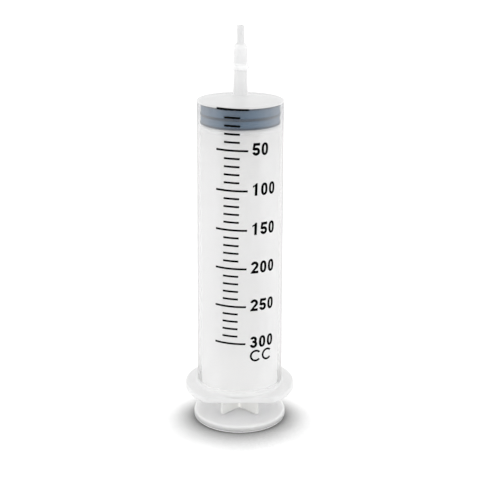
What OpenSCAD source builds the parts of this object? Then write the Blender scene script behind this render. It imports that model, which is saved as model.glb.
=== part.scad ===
// Graduated 300 cc syringe with a pull-off tip adapter, standing on its thumb press, plunger home.
// Millimetres. Z = 0 is the face of the thumb press, Z runs up the bore's axis to the tip,
// and the printed scale faces -Y, a little to the left of the front.

/* [Bore and stroke] */
// Radius of the bore
bore_r = 25.15; // [25:0.05:25.5]
// Height of the zero line, which is the front edge of the gasket
zero_z = 212.75; // [211:0.05:214]
// Length of the scale, from the zero line to the full line
scale_l = 151; // [148:0.5:152]

/* [Barrel] */
// Outer radius at the closed end
barrel_r = 27.05; // [26.8:0.05:27.4]
// Draft of the outer wall, wider towards the open end, in degrees
barrel_draft = 0.26; // [0.1:0.02:0.4]
// Thickness of the closed end at its edge
end_t = 1.15; // [1:0.05:2]
// Rise of the closed end's cone, from its edge to the nozzle
end_rise = 2.8; // [2:0.1:4]
// Rounding of the edge round the closed end
rim_round = 0.5; // [0.3:0.1:1.2]
// Chamfer inside the open end
mouth_chamfer = 0.8; // [0.4:0.1:1]

/* [Finger flange] */
// Height of the flange's lower face
flange_z = 20.3; // [18:0.1:24]
// Thickness of the flange
flange_t = 4.5; // [4:0.1:5]
// Radius of the flange's round ends
flange_r = 36.1; // [35:0.1:38]
// Distance from the axis to the flange's front and back flats
flange_flat = 28.9; // [28.6:0.1:30]
// Rounding of the flange's edges
flange_round = 1.3; // [0.8:0.1:1.6]
// Fillet between the flange and the wall
flange_fillet = 1.6; // [1:0.1:2]

/* [Nozzle] */
// Radius of the nozzle at its foot
nozzle_r = 4.75; // [4.5:0.05:5]
// Radius of the nozzle where the adapter's collar sits
seat_r = 4.1; // [4:0.05:4.4]
// Length of the nozzle from its foot to that seat
nozzle_l = 15.6; // [14:0.1:18]
// Fillet round the nozzle's foot
nozzle_fillet = 0.8; // [0.4:0.1:1.2]
// Radius of the spigot inside the adapter, at its lower end
spigot_r = 3.5; // [3.3:0.05:3.6]
// Radius of the spigot at its upper end
spigot_end_r = 3.1; // [2.9:0.05:3.2]
// Length of the spigot
spigot_l = 12; // [10:0.1:12.5]
// Radius of the nozzle's bore at its lower end
nozzle_bore_r = 2.9; // [2.6:0.05:3]
// Radius of the nozzle's bore at its upper end
spigot_bore_r = 1.9; // [1.6:0.05:2]

/* [Tip adapter] */
// Radius of the collar
collar_r = 4.95; // [4.8:0.05:5.2]
// Height of the collar
collar_h = 4; // [3:0.1:5]
// Outer radius just above the collar
adapter_r = 4.42; // [4.3:0.02:4.6]
// Outer radius at the shoulder
shoulder_r = 4.2; // [3.8:0.02:4.4]
// Height from the seat to the foot of the shoulder
shoulder_h = 13.2; // [13:0.1:15]
// Height of the sloping shoulder
shoulder_rise = 3.3; // [2:0.1:4]
// Radius of the tip that takes a hose
tip_r = 2.35; // [2.2:0.05:2.6]
// Straight length of that tip
tip_l = 10.4; // [9:0.1:12]
// Chamfer at the end of the tip
tip_chamfer = 0.3; // [0.1:0.05:0.5]
// Radius of the tip's bore
tip_bore_r = 1.3; // [1:0.05:1.5]
// Reach of the pull tab beyond the collar
tab_reach = 1.2; // [1:0.1:2.5]
// Width of the pull tab
tab_w = 2.4; // [1.5:0.1:3]
// Thickness of the pull tab
tab_t = 1.5; // [1:0.1:2.5]

/* [Gasket] */
// Height of the gasket from its lower edge to its front edge
gasket_h = 13.3; // [11.5:0.1:14]
// Height from the front edge to the middle of the middle rib
mid_rib_drop = 7.15; // [6:0.05:8]
// Height of each sealing rib
seal_h = 0.9; // [0.6:0.1:1.4]
// Depth of the two bands between the ribs
band_depth = 0.45; // [0.3:0.05:0.8]
// Running gap between a rib and the bore
seal_gap = 0.05; // [0.02:0.01:0.1]
// Gap between the gasket's front and the closed end
front_gap = 0.2; // [0.1:0.05:0.5]

/* [Plunger rod] */
// Radius of the thumb press
press_r = 30.5; // [29:0.1:32]
// Thickness of the thumb press
press_t = 4.7; // [4:0.1:5.5]
// Rounding of the thumb press's edges
press_round = 1.5; // [0.8:0.1:2]
// Width across the crossed ribs
rib_span = 34; // [30:0.5:36]
// Thickness of each rib
rib_t = 2.4; // [2:0.1:3]
// Radius of the disc behind the gasket
disc_r = 23.6; // [22:0.1:24.5]
// Thickness of that disc
disc_t = 2.6; // [2:0.1:3.5]
// Radius of the neck that the gasket snaps over
neck_r = 9.5; // [8:0.1:11]
// Length of the neck
neck_l = 3.6; // [3:0.1:4]
// Radius of the head inside the gasket
head_r = 12.5; // [11.5:0.1:14]
// Height of the head
head_h = 4.2; // [3.5:0.1:4.6]
// Gap between the gasket and the head and neck
head_gap = 0.08; // [0.05:0.01:0.1]

/* [Printed scale] */
// Thickness of the ink
ink_t = 0.12; // [0.08:0.01:0.2]
// Clearance under the ink, so that no surface of it lies on the wall's
ink_gap = 0.01; // [0.01:0.01:0.02]
// Thickness of a scale line, measured up the barrel
line_h = 1.25; // [0.8:0.05:1.4]
// Direction of the middle of the scale lines, in degrees to the right of the front
lines_at = -11.9; // [-14:0.1:-8]
// Length of a major line
major_l = 20.3; // [18:0.1:22]
// Length of a minor line
minor_l = 9.9; // [8:0.1:12]
// Direction of the middle of a numeral's first digit
numeral_at = 20; // [18:0.1:24]
// Turn from one digit to the next
digit_pitch = 12.6; // [12:0.1:14]
// Height of a digit
digit_h = 7.9; // [6.5:0.1:8.5]
// Width of a digit
digit_w = 5.1; // [4:0.05:5.4]
// Stroke of a digit
digit_stroke = 1.7; // [1.2:0.05:1.8]
// Height of a numeral's middle above its line
numeral_lift = 1.0; // [0:0.1:2]
// Direction of the middle of the unit mark's first letter
unit_at = 23.3; // [18:0.1:24]
// Turn from that letter to the second
unit_pitch = 17.2; // [16:0.1:18]
// Outer radius of those letters
unit_r = 4.05; // [3:0.05:4.2]
// Stroke of those letters
unit_stroke = 1.3; // [0.6:0.05:1.6]
// Drop from the full line to the middle of the unit mark
unit_drop = 8.4; // [8:0.1:10]
// Lean of the print's column from the barrel's axis, in degrees
print_lean = 0.5; // [0:0.1:1]
// Slant of each row of the print, falling to the right, in degrees
row_slant = 1.7; // [0:0.1:2.5]

/* [Hidden] */
$fn = 96;
ARC_STEPS = 6;
GLYPH_STEPS = 14;

flange_top = flange_z + flange_t;
inner_z = zero_z + front_gap;
rim_z = inner_z + end_t;
nozzle_z = rim_z + end_rise;
seat_z = nozzle_z + nozzle_l;
spigot_z = seat_z + spigot_l;
end_slope = end_rise / (barrel_r - rim_round - nozzle_r - nozzle_fillet);
inner_apex_z = inner_z + (bore_r - nozzle_bore_r) * end_slope;

gasket_z = zero_z - gasket_h;
seal_r = bore_r - seal_gap;
disc_z = gasket_z - head_gap;

MAJORS = 6;
MINORS = 5;
major_step = scale_l / MAJORS;
minor_step = major_step / MINORS;
mid_z = zero_z - scale_l / 2;

// Outer radius of the barrel's wall at height z
function wall_r(z) = barrel_r + (rim_z - z) * tan(barrel_draft);

// Points of an arc about c, from angle a0 to a1
function arc(c, r, a0, a1) =
  [for (i = [0:ARC_STEPS]) let (a = a0 + (a1 - a0) * i / ARC_STEPS) c + r * [cos(a), sin(a)]];

// ---------- barrel ----------

module barrel_body() {
  fillet_z = flange_top + flange_fillet;
  corner_z = rim_z - rim_round;
  rotate_extrude()
    polygon(concat(
      [[bore_r + mouth_chamfer, flange_z]],
      arc([flange_r - flange_round, flange_z + flange_round], flange_round, -90, 0),
      arc([flange_r - flange_round, flange_top - flange_round], flange_round, 0, 90),
      arc([wall_r(fillet_z) + flange_fillet, fillet_z], flange_fillet, 270, 180),
      arc([wall_r(corner_z) - rim_round, corner_z], rim_round, 0, 90 - atan(end_slope)),
      arc([nozzle_r + nozzle_fillet, nozzle_z + nozzle_fillet], nozzle_fillet,
          270 - atan(end_slope), 180),
      [
        [seat_r, seat_z],
        [spigot_r, seat_z],
        [spigot_end_r, spigot_z],
        [spigot_bore_r, spigot_z],
        [nozzle_bore_r, inner_apex_z],
        [bore_r, inner_z],
        [bore_r, flange_z + mouth_chamfer]
      ]
    ));
}

module barrel() {
  color([0.92, 0.93, 0.94, 0.45])
    intersection() {
      barrel_body();
      translate([-flange_r - 1, -flange_flat, flange_z - 1])
        cube([2 * flange_r + 2, 2 * flange_flat, spigot_z - flange_z + 2]);
    }
}

// ---------- tip adapter ----------

module tip_adapter_body() {
  collar_z = seat_z + collar_h;
  shoulder_z = seat_z + shoulder_h;
  tip_z = shoulder_z + shoulder_rise;
  roof_z = spigot_z + 0.3;
  collar_round = 0.4;
  wall_gap = 0.03;
  rotate_extrude()
    polygon(concat(
      [[spigot_r + wall_gap, seat_z]],
      arc([collar_r - collar_round, seat_z + collar_round], collar_round, -90, 0),
      arc([collar_r - collar_round, collar_z - collar_round], collar_round, 0, 90),
      [
        [adapter_r, collar_z],
        [shoulder_r, shoulder_z],
        [shoulder_r - 0.5, tip_z - 1],
        [tip_r, tip_z],
        [tip_r, tip_z + tip_l],
        [tip_r - tip_chamfer, tip_z + tip_l + tip_chamfer],
        [tip_bore_r, tip_z + tip_l + tip_chamfer],
        [tip_bore_r, roof_z],
        [spigot_end_r + wall_gap, roof_z]
      ]
    ));
}

module tip_adapter() {
  tab_z = seat_z + collar_h / 2 - tab_t / 2;
  color([0.96, 0.96, 0.97, 0.6]) {
    union() {
      tip_adapter_body();
      translate([adapter_r, -tab_w / 2, tab_z])
        cube([collar_r - adapter_r + tab_reach, tab_w, tab_t]);
    }
  }
}

// ---------- gasket ----------

module piston_gasket() {
  band_r = seal_r - band_depth;
  bottom_rib_z = gasket_z + seal_h;
  mid_rib_z = zero_z - mid_rib_drop;
  neck_top_z = disc_z + neck_l;
  color([0.36, 0.41, 0.48])
    rotate_extrude()
      polygon([
        [neck_r + head_gap, gasket_z],
        [seal_r, gasket_z],
        [seal_r, bottom_rib_z],
        [band_r, bottom_rib_z],
        [band_r, mid_rib_z - seal_h / 2],
        [seal_r, mid_rib_z - seal_h / 2],
        [seal_r, mid_rib_z + seal_h / 2],
        [band_r, mid_rib_z + seal_h / 2],
        [band_r, zero_z - seal_h],
        [seal_r, zero_z - seal_h],
        [seal_r, zero_z],
        [0, zero_z + seal_r * end_slope],
        [0, neck_top_z + head_h + head_gap],
        [head_r + head_gap, neck_top_z + head_h + head_gap],
        [head_r + head_gap, neck_top_z - head_gap],
        [neck_r + head_gap, neck_top_z - head_gap]
      ]);
}

// ---------- plunger rod ----------

module thumb_press() {
  rotate_extrude()
    polygon(concat(
      [[0, 0]],
      arc([press_r - press_round, press_round], press_round, -90, 0),
      arc([press_r - press_round, press_t - press_round], press_round, 0, 90),
      [[0, press_t]]
    ));
}

module crossed_ribs() {
  sink = 0.5;
  rib_top = disc_z - disc_t;
  for (turn = [45, 135])
    rotate([0, 0, turn])
      translate([-rib_span / 2, -rib_t / 2, press_t - sink])
        cube([rib_span, rib_t, rib_top - press_t + 2 * sink]);
}

module rod_head() {
  lead = 1.2;
  neck_top_z = disc_z + neck_l;
  rotate_extrude()
    polygon([
      [0, disc_z - disc_t],
      [disc_r, disc_z - disc_t],
      [disc_r, disc_z],
      [neck_r, disc_z],
      [neck_r, neck_top_z],
      [head_r, neck_top_z],
      [head_r, neck_top_z + head_h - lead],
      [head_r - lead, neck_top_z + head_h],
      [0, neck_top_z + head_h]
    ]);
}

module plunger_rod() {
  color([0.94, 0.94, 0.93])
    union() {
      thumb_press();
      crossed_ribs();
      rod_head();
    }
}

// ---------- printed scale ----------

// Keeps the part of its children that lies in the ink's thin skin on the wall, from z0 to z1
module inked(z0, z1) {
  color([0.03, 0.03, 0.035])
    intersection() {
      rotate_extrude()
        polygon([
          [wall_r(z0) + ink_gap, z0],
          [wall_r(z0) + ink_t, z0],
          [wall_r(z1) + ink_t, z1],
          [wall_r(z1) + ink_gap, z1]
        ]);
      children();
    }
}

// Pushes a flat shape out through the wall, at an angle from the front and a height.
// The column leans about the middle of the scale, and each row falls away from its line.
module print_at(angle, z) {
  depth = 3;
  drift = (z - mid_z) * tan(print_lean) / barrel_r * 180 / PI;
  drop = barrel_r * (angle - lines_at) * PI / 180 * tan(row_slant);
  rotate([0, 0, angle + drift])
    translate([0, depth - barrel_r, z - drop])
      rotate([90, 0, 0])
        linear_extrude(2 * depth + 1)
          rotate(-row_slant)
            children();
}

module scale_line(length, z) {
  chord = 2 * barrel_r * sin(length / barrel_r * 90 / PI);
  print_at(lines_at, z)
    square([chord, line_h], center = true);
}

module major_graduations() {
  inked(zero_z - scale_l - 2, zero_z + 0.85)
    union()
      for (i = [0:MAJORS])
        scale_line(major_l, zero_z - i * major_step);
}

module minor_graduations() {
  inked(zero_z - scale_l - 2, zero_z + 0.85)
    union()
      for (i = [0:MAJORS - 1], j = [1:MINORS - 1])
        scale_line(minor_l, zero_z - i * major_step - j * minor_step);
}

// Points of an arc about c as glyphs use it, finer than a fillet's
function sweep(c, r, a0, a1) =
  [for (i = [0:GLYPH_STEPS]) let (a = a0 + (a1 - a0) * i / GLYPH_STEPS) c + r * [cos(a), sin(a)]];

// Points of an upright oval, a little squarer than an ellipse
function oval(half_w, half_h) =
  [for (i = [0:2 * GLYPH_STEPS - 1])
    let (a = 180 * i / GLYPH_STEPS, c = cos(a), s = sin(a))
    [half_w * sign(c) * pow(abs(c), 0.85), half_h * sign(s) * pow(abs(s), 0.85)]];

module digit_0() {
  half_w = digit_w / 2 - 0.15;
  thin = digit_stroke - 0.2;
  difference() {
    polygon(oval(half_w, digit_h / 2));
    polygon(oval(half_w - digit_stroke, digit_h / 2 - thin));
  }
}

module digit_1() {
  right = 1.15;
  left = right - digit_stroke;
  top = digit_h / 2;
  polygon([
    [right, -top],
    [right, top],
    [0.1, top],
    [-0.7, top - 1.05],
    [-1.9, top - 1.6],
    [-1.9, top - 2.8],
    [left, top - 1.9],
    [left, -top]
  ]);
}

module digit_2() {
  r = digit_w / 2;
  top = digit_h / 2;
  bowl = [0, top - r];
  foot_y = digit_stroke - top;
  polygon(concat(
    sweep(bowl, r, 172, -32),
    [[-0.1, foot_y], [r, foot_y], [r, -top], [-r, -top], [-r, 0.5 - top]],
    sweep(bowl, r - digit_stroke, -32, 172)
  ));
}

module digit_3() {
  top = digit_h / 2;
  upper_r = 2.3;
  lower_r = digit_w / 2;
  upper = [-0.1, top - upper_r];
  lower = [0, lower_r - top];
  bar_x = -0.8;
  polygon(concat(
    sweep(upper, upper_r, 165, -33),
    sweep(lower, lower_r, 45, -168),
    sweep(lower, lower_r - digit_stroke, -168, 90),
    [
      [bar_x, lower[1] + lower_r - digit_stroke],
      [bar_x, upper[1] - upper_r + digit_stroke]
    ],
    sweep(upper, upper_r - digit_stroke, -90, 165)
  ));
}

module digit_5() {
  r = digit_w / 2;
  top = digit_h / 2;
  bowl = [0, r - top];
  arm_x = r - 0.15;
  polygon(concat(
    [[-1.9, top], [arm_x, top], [arm_x, top - digit_stroke], [-0.5, top - digit_stroke]],
    sweep(bowl, r, 112, -168),
    sweep(bowl, r - digit_stroke, -168, 138),
    [[-2.4, -0.35]]
  ));
}

module letter_c() {
  gap = 42;
  polygon(concat(
    sweep([0, 0], unit_r, gap, 360 - gap),
    sweep([0, 0], unit_r - unit_stroke, 360 - gap, gap)
  ));
}

module digit(d) {
  if (d == 0) digit_0();
  if (d == 1) digit_1();
  if (d == 2) digit_2();
  if (d == 3) digit_3();
  if (d == 5) digit_5();
}

// The digits of one numeral, beside the line at value cc
module numeral(value, digits) {
  z = zero_z - value / 50 * major_step + numeral_lift;
  inked(z - digit_h / 2 - 2, z + digit_h / 2 + 1)
    union()
      for (i = [0:len(digits) - 1])
        print_at(numeral_at + i * digit_pitch, z)
          digit(digits[i]);
}

module unit_mark() {
  z = zero_z - scale_l - unit_drop;
  inked(z - unit_r - 2, z + unit_r + 1)
    union()
      for (i = [0, 1])
        print_at(unit_at + i * unit_pitch, z)
          letter_c();
}

plunger_rod();
piston_gasket();
barrel();
tip_adapter();
major_graduations();
minor_graduations();
numeral(50, [5, 0]);  // numeral_50
numeral(100, [1, 0, 0]);  // numeral_100
numeral(150, [1, 5, 0]);  // numeral_150
numeral(200, [2, 0, 0]);  // numeral_200
numeral(250, [2, 5, 0]);  // numeral_250
numeral(300, [3, 0, 0]);  // numeral_300
unit_mark();
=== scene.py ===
"""Looks for the graduated syringe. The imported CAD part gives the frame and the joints.
The four mouldings are turned again here, to the CAD's sizes, with finer, rounded edges, and get
their plastics and rubber; the printed scale is the CAD's own. The studio is white all round."""

import math

import bpy
from mathutils import Matrix, Vector


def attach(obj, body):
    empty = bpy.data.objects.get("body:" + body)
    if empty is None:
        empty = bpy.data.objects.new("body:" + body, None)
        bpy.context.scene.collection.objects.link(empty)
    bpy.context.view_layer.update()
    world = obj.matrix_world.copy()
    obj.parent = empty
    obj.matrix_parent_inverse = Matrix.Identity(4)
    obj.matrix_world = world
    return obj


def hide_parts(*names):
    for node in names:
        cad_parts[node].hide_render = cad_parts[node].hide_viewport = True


MM = 0.001
SIDES = 256  # facets round each turned piece
CORNER_STEPS = 7  # facets round each rounded edge

# Sizes of the mouldings in millimetres, as the CAD has them
BORE_R = 25.15
WALL_R = 27.05  # outer radius at the closed end
WALL_FOOT_R = 27.91  # outer radius at the flange, wider by the draft
FLANGE_Z, FLANGE_TOP = 20.3, 24.8
FLANGE_R, FLANGE_FLAT = 36.1, 28.9
INNER_Z, RIM_Z = 212.95, 214.03
END_SLOPE = 0.1333
NOZZLE_R, NOZZLE_Z = 4.75, 217.0
SEAT_R, SEAT_Z = 4.1, 232.5
SPIGOT_Z = 244.5
TIP_Z = 259.7
GASKET_Z, ZERO_Z = 199.45, 212.75
MID_RIB_Z = 205.6
SEAL_R, BAND_R = 25.1, 24.65
PRESS_R, PRESS_T = 30.47, 4.7
RIB_SPAN, RIB_T = 34, 2.4  # the rod's crossed ribs
DISC_Z, DISC_TOP, DISC_R = 196.77, 199.37, 23.6
NECK_R, NECK_Z = 9.5, DISC_TOP + 3.6  # the head begins where the neck ends
HEAD_R, HEAD_T = 12.5, 4.2
COLLAR_TOP = SEAT_Z + 4
SHOULDER_Z, TIP_FOOT_Z = 245.7, 249.0  # the adapter's slope up to its tip
SEAL_T = 0.9  # height of each sealing rib of the gasket
GASKET_GAP = 0.08  # between the gasket and the rod's neck and head


# ---------- shapes ----------


def rounded(corners):
    """An outline in (radius, height), with each corner (radius, height, rounding) an arc."""
    outline = []
    count = len(corners)
    for i, (r, z, rounding) in enumerate(corners):
        here = Vector((r, z))
        if rounding <= 0:
            outline.append(here)
            continue
        before = (Vector(corners[i - 1][:2]) - here).normalized()
        after = (Vector(corners[(i + 1) % count][:2]) - here).normalized()
        half = before.angle(after) / 2
        centre = here + (before + after).normalized() * (rounding / math.sin(half))
        start = here + before * (rounding / math.tan(half)) - centre
        end = here + after * (rounding / math.tan(half)) - centre
        turn = start.angle_signed(end)
        for k in range(CORNER_STEPS + 1):
            a = -turn * k / CORNER_STEPS
            c, s = math.cos(a), math.sin(a)
            outline.append(
                centre + Vector((start.x * c - start.y * s, start.x * s + start.y * c))
            )
    return outline


def turned(name, corners, materials, pick=None, limit=None):
    """A solid turned round Z from a closed outline. limit(r, angle) may hold a radius back, and
    pick(r, z) chooses the material of a facet."""
    outline = rounded(corners)
    verts, faces, slots = [], [], []
    ring = []
    for point in outline:
        if point.x < 1e-6:
            ring.append([len(verts)] * SIDES)
            verts.append((0, 0, point.y * MM))
            continue
        ring.append(list(range(len(verts), len(verts) + SIDES)))
        for k in range(SIDES):
            a = 2 * math.pi * (k + 0.5) / SIDES
            r = limit(point.x, a) if limit else point.x
            verts.append((r * math.cos(a) * MM, r * math.sin(a) * MM, point.y * MM))
    count = len(outline)
    for i in range(count):
        j = (i + 1) % count
        middle = (outline[i] + outline[j]) / 2
        if middle.x < 1e-6:
            continue
        for k in range(SIDES):
            n = (k + 1) % SIDES
            corners_of = [ring[i][k], ring[i][n], ring[j][n], ring[j][k]]
            face = list(dict.fromkeys(corners_of))
            faces.append(face)
            slots.append(pick(middle.x, middle.y) if pick else 0)
    mesh = bpy.data.meshes.new(name)
    mesh.from_pydata(verts, [], faces)
    for material in materials:
        mesh.materials.append(material)
    mesh.polygons.foreach_set("material_index", slots)
    mesh.polygons.foreach_set("use_smooth", [True] * len(faces))
    mesh.update()
    mesh.set_sharp_from_angle(angle=math.radians(32))
    piece = bpy.data.objects.new(name, mesh)
    bpy.context.scene.collection.objects.link(piece)
    return piece


def flange_limit(r, angle):
    """Holds the flange's edge back to its front and back flats, with the same rounded edges."""
    if r < WALL_FOOT_R + 1.7:
        return r
    flat = FLANGE_FLAT / max(abs(math.sin(angle)), 1e-6)
    return min(r, flat - (FLANGE_R - r))


# ---------- materials ----------


class Nodes:
    """A material's nodes, made and joined in a few words."""

    def __init__(self, name):
        self.material = bpy.data.materials.new(name)
        self.material.use_nodes = True
        self.tree = self.material.node_tree
        self.tree.nodes.clear()

    def node(self, kind, **inputs):
        made = self.tree.nodes.new(kind)
        for key, value in inputs.items():
            self.put(made, key.replace("_", " "), value)
        return made

    def put(self, node, key, value):
        socket = node.inputs[int(key)] if key.isdigit() else node.inputs[key]
        if isinstance(value, bpy.types.NodeSocket):
            self.tree.links.new(value, socket)
        else:
            socket.default_value = value

    def math(self, operation, a, b=0.0):
        made = self.tree.nodes.new("ShaderNodeMath")
        made.operation = operation
        self.put(made, "0", a)
        self.put(made, "1", b)
        return made.outputs[0]

    def ramp(self, factor, stops):
        made = self.tree.nodes.new("ShaderNodeValToRGB")
        band = made.color_ramp
        while len(band.elements) < len(stops):
            band.elements.new(0.5)
        for element, (place, value) in zip(band.elements, stops):
            element.position = place
            shade = value if isinstance(value, tuple) else (value, value, value)
            element.color = (*shade, 1)
        self.put(made, "0", factor)
        return made.outputs[0]

    def mix(self, factor, first, second):
        made = self.tree.nodes.new("ShaderNodeMixShader")
        self.put(made, "0", factor)
        self.put(made, "1", first)
        self.put(made, "2", second)
        return made.outputs[0]

    def blend(self, factor, first, second):
        """first where factor is 0, second where it is 1; all three are single values."""
        rise = self.math("SUBTRACT", second, first)
        return self.math("ADD", first, self.math("MULTIPLY", factor, rise))

    def facing(self):
        return self.node("ShaderNodeLayerWeight", Blend=0.5).outputs["Facing"]

    def place(self):
        """(radius from the axis, height) in metres, in the piece's own frame."""
        where = self.node("ShaderNodeTexCoord").outputs["Object"]
        split = self.node("ShaderNodeSeparateXYZ", Vector=where)
        flat = self.node("ShaderNodeCombineXYZ", X=split.outputs[0], Y=split.outputs[1])
        length = self.tree.nodes.new("ShaderNodeVectorMath")
        length.operation = "LENGTH"
        self.put(length, "0", flat.outputs[0])
        return length.outputs["Value"], split.outputs[2]

    def step(self, value, low, high):
        """0 below low, 1 above high, smooth between; either way round."""
        made = self.tree.nodes.new("ShaderNodeMapRange")
        made.interpolation_type = "SMOOTHSTEP"
        self.put(made, "Value", value)
        made.inputs["From Min"].default_value = min(low, high)
        made.inputs["From Max"].default_value = max(low, high)
        made.inputs["To Min"].default_value = 0.0 if low < high else 1.0
        made.inputs["To Max"].default_value = 1.0 if low < high else 0.0
        return made.outputs["Result"]

    def rise(self, length, low, high):
        """A step along a length in metres, with its limits in millimetres."""
        return self.step(length, low * MM, high * MM)

    def finish(self, surface):
        out = self.tree.nodes.new("ShaderNodeOutputMaterial")
        self.tree.links.new(surface, out.inputs["Surface"])
        return self.material


def milky(nodes, shade, back_share):
    """Clouded plastic: part scatters back, part glows through, under a soft gloss."""
    front = nodes.node("ShaderNodeBsdfPrincipled", Roughness=0.35)
    nodes.put(front, "Base Color", shade)
    through = nodes.node("ShaderNodeBsdfTranslucent")
    nodes.put(through, "Color", shade)
    return nodes.mix(back_share, front.outputs[0], through.outputs[0])


def make_wall_outside():
    """Clear where it is seen square on and whiter towards its sides. The closed end, the nozzle
    and the flange are thicker, and milky all over. Their shade is painted in by view angle,
    darkest along the outline, with a painted highlight on the closed end towards the nozzle."""
    n = Nodes("barrel_outside")
    facing = n.facing()
    radius, height = n.place()
    cloud = n.ramp(
        facing, [(0.0, 0.07), (0.17, 0.13), (0.38, 0.2), (0.64, 0.23), (0.8, 0.5), (1.0, 0.8)]
    )
    closed_end = n.rise(height, INNER_Z - 0.15, INNER_Z + 0.15)
    foot = n.rise(height, FLANGE_TOP + 6.2, FLANGE_TOP + 0.2)
    brim = n.rise(radius, WALL_FOOT_R - 0.01, WALL_FOOT_R + 0.59)
    flange = n.math("MAXIMUM", foot, brim)
    solid = n.math("MAXIMUM", closed_end, flange)
    amount = n.math("MAXIMUM", cloud, n.math("MULTIPLY", solid, 0.93))
    # Painted shade: the thin wall's colour changes with view angle and is darkest along the
    # outline.
    thin_wall_painted_shade = n.ramp(
        facing,
        [
            (0.0, 0.87),
            (0.35, 0.83),
            (0.6, 0.81),
            (0.72, 0.85),
            (0.84, 0.68),
            (0.9, 0.5),
            (1.0, 0.35),
        ],
    )
    # Painted shade: the thick parts are lighter where seen aslant and darker along the outline.
    bulk_painted_shade = n.ramp(facing, [(0.0, 0.84), (0.2, 0.86), (0.6, 0.96), (0.9, 0.9), (1.0, 0.7)])
    # Painted highlight: the closed end is lighter towards the nozzle.
    end_painted_highlight = n.blend(n.rise(radius, 26, 7), 0.73, 0.77)
    bulk_painted_shade = n.math("MULTIPLY", bulk_painted_shade, n.blend(closed_end, 0.87, end_painted_highlight))
    # Painted shade on the nozzle: darker in the middle, lighter towards its outline.
    spout_painted_shade = n.ramp(facing, [(0.0, 0.71), (0.4, 0.71), (0.7, 0.86), (1.0, 0.9)])
    nozzle = n.rise(height, NOZZLE_Z, NOZZLE_Z + 0.5)
    shade = n.blend(nozzle, n.blend(solid, thin_wall_painted_shade, bulk_painted_shade), spout_painted_shade)
    back = n.blend(closed_end, n.blend(flange, 0.4, 0.2), 0.05)
    clear = n.node("ShaderNodeBsdfTransparent", Color=(0.975, 0.973, 0.979, 1))
    body = n.mix(amount, clear.outputs[0], milky(n, shade, back))
    gloss = n.node("ShaderNodeBsdfGlossy", Roughness=0.2)
    gloss.inputs["Color"].default_value = (0.8, 0.8, 0.8, 1)
    fresnel = n.node("ShaderNodeFresnel", IOR=1.4)
    sheen = n.math("MULTIPLY", fresnel.outputs[0], 0.45)
    film = n.ramp(facing, [(0.0, 0.0), (0.17, 0.02), (0.38, 0.12), (0.6, 0.14), (0.72, 0.0)])
    thin = n.math("MULTIPLY", film, n.math("SUBTRACT", 1.0, solid))
    return n.finish(n.mix(n.math("ADD", sheen, thin), body, gloss.outputs[0]))


def make_wall_inside():
    """Frosted below the gasket's rest place, with a little painted glow (emission) added, more
    at the foot.
    """
    n = Nodes("barrel_inside")
    _, height = n.place()
    frosted = n.rise(height, 200, 195)
    clear = n.node("ShaderNodeBsdfTransparent", Color=(1, 1, 1, 1))
    frost = n.node("ShaderNodeBsdfTranslucent", Color=(0.985, 0.985, 0.985, 1))
    body = n.mix(n.blend(frosted, 0.22, 0.92), clear.outputs[0], frost.outputs[0])
    # Painted glow: emission that lightens the frosted wall, more towards the foot.
    painted_glow = n.node("ShaderNodeEmission")
    strength = n.blend(n.rise(height, 65, 30), 0.022, 0.07)
    n.put(painted_glow, "Strength", n.math("MULTIPLY", frosted, strength))
    both = n.node("ShaderNodeAddShader")
    n.put(both, "0", body)
    n.put(both, "1", painted_glow.outputs[0])
    return n.finish(both.outputs[0])


def make_adapter(name, amount):
    """Milky, with a darker tip and a lighter collar, painted shade darker along the body's
    outline, and on the tip painted shade darker in the middle with lighter edges; amount is how
    much of it isn't clear.
    """
    n = Nodes(name)
    facing = n.facing()
    _, height = n.place()
    # Painted shade: the body is darker towards its outline.
    side = n.ramp(facing, [(0.0, 0.89), (0.7, 0.91), (0.9, 0.8), (1.0, 0.6)])
    # Painted shade on the tip: darker in the middle, lighter towards its outline.
    spout_painted_shade = n.ramp(facing, [(0.0, 0.75), (0.35, 0.77), (0.7, 0.88), (1.0, 0.8)])
    tip = n.rise(height, TIP_FOOT_Z - 1.5, TIP_FOOT_Z + 0.2)
    collar = n.rise(height, COLLAR_TOP + 0.6, COLLAR_TOP - 0.2)
    shade = n.blend(collar, n.blend(tip, side, spout_painted_shade), 0.96)
    back = n.blend(collar, 0.35, 0.3)
    clear = n.node("ShaderNodeBsdfTransparent", Color=(0.98, 0.98, 0.985, 1))
    return n.finish(n.mix(amount, clear.outputs[0], milky(n, shade, back)))


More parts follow.
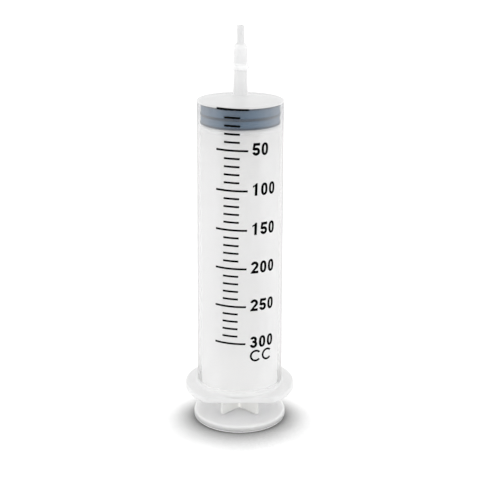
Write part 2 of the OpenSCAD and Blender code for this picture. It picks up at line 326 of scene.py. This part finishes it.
def make_rod():
    """White plastic, with painted light and shade: up-facing faces lighter than side faces,
    both lighter towards the axis, a painted glow along the press's lower edge and in the crease
    between the ribs' feet, and painted grey shade along the ribs' outer edges above the press.
    Light sinks into the press; the ribs are opaque."""
    n = Nodes("rod_plastic")
    normal = n.node("ShaderNodeNewGeometry").outputs["Normal"]
    level = n.math("ABSOLUTE", n.node("ShaderNodeSeparateXYZ", Vector=normal).outputs[2])
    radius, height = n.place()
    out = n.math("DIVIDE", radius, PRESS_R * MM)
    # Painted shade on side faces: lightest near the axis, in the crease between the ribs, and
    # darker towards the rim.
    side = n.ramp(
        out, [(0.0, 1.0), (0.07, 1.0), (0.12, 0.8), (0.25, 0.72), (0.7, 0.72), (1.0, 0.6)]
    )
    # Painted light on up-facing faces, lighter towards the axis.
    up_face_painted_light = n.ramp(out, [(0.0, 0.95), (0.6, 0.86), (0.95, 0.76)])
    # Painted shade: above the press the ribs are greyer along their outer edges.
    upper_painted_edge_shade = n.ramp(out, [(0.0, 0.84), (0.49, 0.84), (0.53, 0.6), (0.58, 0.6), (0.62, 0.84)])
    foot = n.rise(height, 30, 20)
    # Lit and shaded copies: up-facing faces take the top shade, side faces the side shade.
    shade = n.blend(foot, upper_painted_edge_shade, n.blend(level, side, up_face_painted_light))
    shade = n.ramp(shade, [(0.0, (0, 0, 0)), (1.0, (1.0, 1.0, 0.985))])
    plastic = n.node("ShaderNodeBsdfPrincipled", Roughness=0.5)
    n.put(plastic, "Base Color", shade)
    # Painted glow along the press's lower edge.
    lip_painted_glow = n.math("MULTIPLY", n.rise(height, 1.1, 0.7), n.step(out, 0.9, 0.95))
    # Painted glow in the crease between the ribs' feet.
    crease_painted_glow = n.math("MULTIPLY", foot, n.step(out, 0.1, 0.02))
    painted_glow = n.math("ADD", n.math("MULTIPLY", lip_painted_glow, 0.5), n.math("MULTIPLY", crease_painted_glow, 0.1))
    n.put(plastic, "Emission Strength", painted_glow)
    n.put(plastic, "Subsurface Weight", n.blend(n.step(out, 0.8, 0.7), 1.0, level))
    n.put(plastic, "Subsurface Radius", (0.016, 0.016, 0.015))
    n.put(plastic, "Subsurface Scale", 1.0)
    return n.finish(plastic.outputs[0])


def make_rubber():
    """Grey-blue rubber, darker where its ribs press on the bore, and with painted shade where
    it turns away.
    """
    n = Nodes("gasket_rubber")
    rubber = n.node("ShaderNodeBsdfPrincipled", Roughness=0.6)
    _, height = n.place()
    ribs = 0.0
    for middle in (ZERO_Z - SEAL_T / 2, MID_RIB_Z, GASKET_Z + SEAL_T / 2):
        away = n.math("ABSOLUTE", n.math("SUBTRACT", height, middle * MM))
        ribs = n.math("MAXIMUM", ribs, n.rise(away, 1.1, 0.7))
    # Painted shade: the rubber is darker where it turns away from view.
    edge_painted_shade = n.step(n.facing(), 0.8, 0.97)
    dark = n.math("MAXIMUM", ribs, edge_painted_shade)
    shade = n.ramp(dark, [(0.0, (0.06, 0.122, 0.196)), (1.0, (0.008, 0.03, 0.06))])
    n.put(rubber, "Base Color", shade)
    return n.finish(rubber.outputs[0])


def make_ink():
    """Matt black, very slightly uneven."""
    n = Nodes("scale_ink")
    ink = n.node("ShaderNodeBsdfPrincipled", Roughness=0.8)
    grain = n.node("ShaderNodeTexNoise", Scale=2500.0, Detail=1.0)
    n.put(ink, "Base Color", n.ramp(grain.outputs[0], [(0.3, 0.001), (0.7, 0.003)]))
    n.put(ink, "Specular IOR Level", 0.0)
    return n.finish(ink.outputs[0])


def make_floor():
    """Pale, with a painted shadow: darker next to the object, most of all in front of it."""
    n = Nodes("studio_floor")
    # Painted shadow: occlusion raised to a power that grows towards the front (-Y).
    near = n.node("ShaderNodeAmbientOcclusion", Distance=0.06, Normal=(0, 0.97, 0.24))
    near.samples = 16
    place = n.node("ShaderNodeNewGeometry").outputs["Position"]
    along = n.node("ShaderNodeSeparateXYZ", Vector=place).outputs[1]
    power = n.math("ADD", n.math("MULTIPLY", along, -36.0), 1.75)
    power = n.math("MINIMUM", n.math("MAXIMUM", power, 0.5), 3.0)
    painted_shadow = n.math("POWER", near.outputs["AO"], power)
    shade = n.math("MULTIPLY", painted_shadow, 1.3)
    floor = n.node("ShaderNodeBsdfDiffuse")
    n.put(floor, "Color", n.ramp(shade, [(0.0, 0.0), (1.0, 1.0)]))
    return n.finish(floor.outputs[0])


# ---------- the syringe ----------


def add_barrel():
    def inside(r, z):
        under_end = z < INNER_Z + (BORE_R - r) * END_SLOPE + 0.3
        return 1 if (r < BORE_R + 0.1 and under_end) or r < 3.0 else 0

    corners = [
        (BORE_R + 0.8, FLANGE_Z, 0.25),
        (FLANGE_R, FLANGE_Z, 1.3),
        (FLANGE_R, FLANGE_TOP, 1.3),
        (WALL_FOOT_R, FLANGE_TOP, 1.6),
        (WALL_R, RIM_Z, 0.5),
        (NOZZLE_R, NOZZLE_Z, 0.8),
        (SEAT_R, SEAT_Z, 0.15),
        (3.5, SEAT_Z, 0),
        (3.1, SPIGOT_Z, 0.2),
        (1.9, SPIGOT_Z, 0.2),
        (2.9, INNER_Z + (BORE_R - 2.9) * END_SLOPE, 0.3),
        (BORE_R, INNER_Z, 0),
        (BORE_R, FLANGE_Z + 0.8, 0.25),
    ]
    barrel = turned(
        "barrel_moulding",
        corners,
        [make_wall_outside(), make_wall_inside()],
        inside,
        flange_limit,
    )
    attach(barrel, "barrel")
    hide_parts("barrel")


def add_adapter():
    corners = [
        (3.53, SEAT_Z, 0.1),
        (4.95, SEAT_Z, 0.45),
        (4.95, COLLAR_TOP, 0.45),
        (4.42, COLLAR_TOP, 0.1),
        (4.2, SHOULDER_Z, 0.4),
        (3.7, TIP_FOOT_Z - 1, 0.5),
        (2.35, TIP_FOOT_Z, 0.3),
        (2.35, TIP_Z, 0.35),
        (1.3, TIP_Z, 0.2),
        (1.3, SPIGOT_Z + 0.3, 0),
        (3.13, SPIGOT_Z + 0.3, 0),
    ]

    def inside(r, z):
        return 1 if r < 1.4 or (r < 3.6 and z < SPIGOT_Z + 0.4) else 0

    adapter = turned(
        "adapter_moulding",
        corners,
        [make_adapter("adapter_outside", 0.82), make_adapter("adapter_inside", 0.45)],
        inside,
    )
    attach(adapter, "adapter")
    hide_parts("tip_adapter")

    bpy.ops.mesh.primitive_cube_add(size=1)
    tab = bpy.context.object
    tab.name = tab.data.name = "adapter_tab"
    low, high = Vector((4.2, -1.2, 233.75)) * MM, Vector((6.15, 1.2, 235.25)) * MM
    tab.data.transform(
        Matrix.Translation((low + high) / 2) @ Matrix.Diagonal((*(high - low), 1))
    )
    edges = tab.modifiers.new("edges", "BEVEL")
    edges.width, edges.segments = 0.4 * MM, 4
    tab.data.polygons.foreach_set("use_smooth", [True] * 6)
    tab.data.materials.append(adapter.data.materials[0])
    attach(tab, "adapter")


def add_gasket():
    cavity_top = NECK_Z + HEAD_T + GASKET_GAP
    corners = [
        (NECK_R + GASKET_GAP, GASKET_Z, 0),
        (SEAL_R, GASKET_Z, 0.3),
        (SEAL_R, GASKET_Z + SEAL_T, 0.2),
        (BAND_R, GASKET_Z + SEAL_T, 0.2),
        (BAND_R, MID_RIB_Z - SEAL_T / 2, 0.2),
        (SEAL_R, MID_RIB_Z - SEAL_T / 2, 0.2),
        (SEAL_R, MID_RIB_Z + SEAL_T / 2, 0.2),
        (BAND_R, MID_RIB_Z + SEAL_T / 2, 0.2),
        (BAND_R, ZERO_Z - SEAL_T, 0.2),
        (SEAL_R, ZERO_Z - SEAL_T, 0.2),
        (SEAL_R, ZERO_Z, 0.3),
        (0, ZERO_Z + SEAL_R * END_SLOPE - 0.01, 0),
        (0, cavity_top, 0),
        (HEAD_R + GASKET_GAP, cavity_top, 0.3),
        (HEAD_R + GASKET_GAP, NECK_Z - GASKET_GAP, 0.1),
        (NECK_R + GASKET_GAP, NECK_Z - GASKET_GAP, 0.1),
    ]
    gasket = turned("gasket_moulding", corners, [make_rubber()])
    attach(gasket, "piston")
    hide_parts("piston_gasket")


def add_rod():
    material = make_rod()
    press = turned(
        "thumb_press",
        [
            (0, 0, 0),
            (PRESS_R, 0, 1.0),
            (PRESS_R, PRESS_T, 1.5),
            (0, PRESS_T, 0),
        ],
        [material],
    )
    head = turned(
        "rod_head",
        [
            (0, DISC_Z, 0),
            (DISC_R, DISC_Z, 0.4),
            (DISC_R, DISC_TOP, 0.4),
            (NECK_R, DISC_TOP, 0.4),
            (NECK_R, NECK_Z, 0.2),
            (HEAD_R, NECK_Z, 0.2),
            (HEAD_R, NECK_Z + 3.0, 0.4),
            (HEAD_R - 1.2, NECK_Z + HEAD_T, 0.4),
            (0, NECK_Z + HEAD_T, 0),
        ],
        [material],
    )
    for piece in (press, head):
        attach(piece, "plunger")
    for index, turn in enumerate((45, 135)):
        bpy.ops.mesh.primitive_cube_add(size=1)
        rib = bpy.context.object
        rib.name = rib.data.name = f"rod_rib_{index + 1}"
        size = (RIB_SPAN * MM, RIB_T * MM, (DISC_Z - PRESS_T + 0.6) * MM)
        middle = (DISC_Z + PRESS_T) / 2 * MM
        rib.data.transform(
            Matrix.Translation((0, 0, middle))
            @ Matrix.Rotation(math.radians(turn), 4, "Z")
            @ Matrix.Diagonal((*size, 1))
        )
        edges = rib.modifiers.new("edges", "BEVEL")
        edges.width, edges.segments = 0.5 * MM, 4
        rib.data.polygons.foreach_set("use_smooth", [True] * 6)
        rib.data.materials.append(material)
        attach(rib, "plunger")
    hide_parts("plunger_rod")


def ink_scale(nodes):
    """The printed scale is the CAD's own meshes, in ink."""
    ink = make_ink()
    for name, node in nodes.items():
        if name in ("barrel", "piston_gasket", "plunger_rod", "tip_adapter"):
            continue
        node.data.materials.clear()
        node.data.materials.append(ink)


# ---------- the studio ----------


def add_floor():
    bpy.ops.mesh.primitive_plane_add(size=40, location=(0, 0, 0))
    floor = bpy.context.object
    floor.name = "studio_floor"
    floor.data.materials.append(make_floor())


def add_softbox(name, side):
    """A weak, tall light beside the object, a little in front of it: -1 is left, 1 is right."""
    place, aim = Vector((side * 0.9, -0.5, 0.4)), Vector((0, 0, 0.13))
    data = bpy.data.lights.new(name, "AREA")
    data.shape = "RECTANGLE"
    data.size, data.size_y = 0.5, 0.9
    data.energy = 1.5
    lamp = bpy.data.objects.new(name, data)
    lamp.location = place
    lamp.rotation_mode = "QUATERNION"
    lamp.rotation_quaternion = (aim - place).to_track_quat("-Z", "Y")
    lamp.visible_camera = False
    bpy.context.scene.collection.objects.link(lamp)


def light_studio():
    """White all round, a shade brighter as a light than as the backdrop the camera sees."""
    world = bpy.data.worlds.new("white_studio")
    bpy.context.scene.world = world
    world.use_nodes = True
    tree = world.node_tree
    seen = tree.nodes["Background"]
    seen.inputs["Color"].default_value = (1, 1, 1, 1)
    seen.inputs["Strength"].default_value = 1.02
    lit = tree.nodes.new("ShaderNodeBackground")
    lit.inputs["Color"].default_value = (1, 1, 1, 1)
    lit.inputs["Strength"].default_value = 1.18
    rays = tree.nodes.new("ShaderNodeLightPath")
    choose = tree.nodes.new("ShaderNodeMixShader")
    tree.links.new(rays.outputs["Is Camera Ray"], choose.inputs[0])
    tree.links.new(lit.outputs[0], choose.inputs[1])
    tree.links.new(seen.outputs[0], choose.inputs[2])
    tree.links.new(choose.outputs[0], tree.nodes["World Output"].inputs[0])
    add_softbox("left_box", -1)
    add_softbox("right_box", 1)


def add_camera():
    data = bpy.data.cameras.new("camera")
    data.lens = 85.67
    data.sensor_width = 36
    camera = bpy.data.objects.new("camera", data)
    tilt = math.radians(90 - 17.46)
    roll = math.radians(0.16)
    camera.matrix_world = (
        Matrix.Translation((0, -0.703, 0.3436))
        @ Matrix.Rotation(tilt, 4, "X")
        @ Matrix.Rotation(roll, 4, "Z")
    )
    bpy.context.scene.collection.objects.link(camera)
    bpy.context.scene.camera = camera


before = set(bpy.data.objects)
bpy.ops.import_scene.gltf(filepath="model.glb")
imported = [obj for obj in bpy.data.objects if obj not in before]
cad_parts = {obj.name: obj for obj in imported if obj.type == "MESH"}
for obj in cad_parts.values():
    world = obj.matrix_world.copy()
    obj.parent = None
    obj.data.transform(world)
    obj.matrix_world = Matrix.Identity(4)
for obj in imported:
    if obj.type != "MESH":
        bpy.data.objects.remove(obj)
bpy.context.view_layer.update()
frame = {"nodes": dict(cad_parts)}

add_barrel()
add_adapter()
add_gasket()
add_rod()
ink_scale(frame["nodes"])
add_floor()
light_studio()
add_camera()

scene = bpy.context.scene
scene.view_settings.view_transform = "Standard"
scene.view_settings.look = "None"
scene.cycles.max_bounces = 16
scene.cycles.diffuse_bounces = 10
scene.cycles.transmission_bounces = 12
scene.cycles.transparent_max_bounces = 32
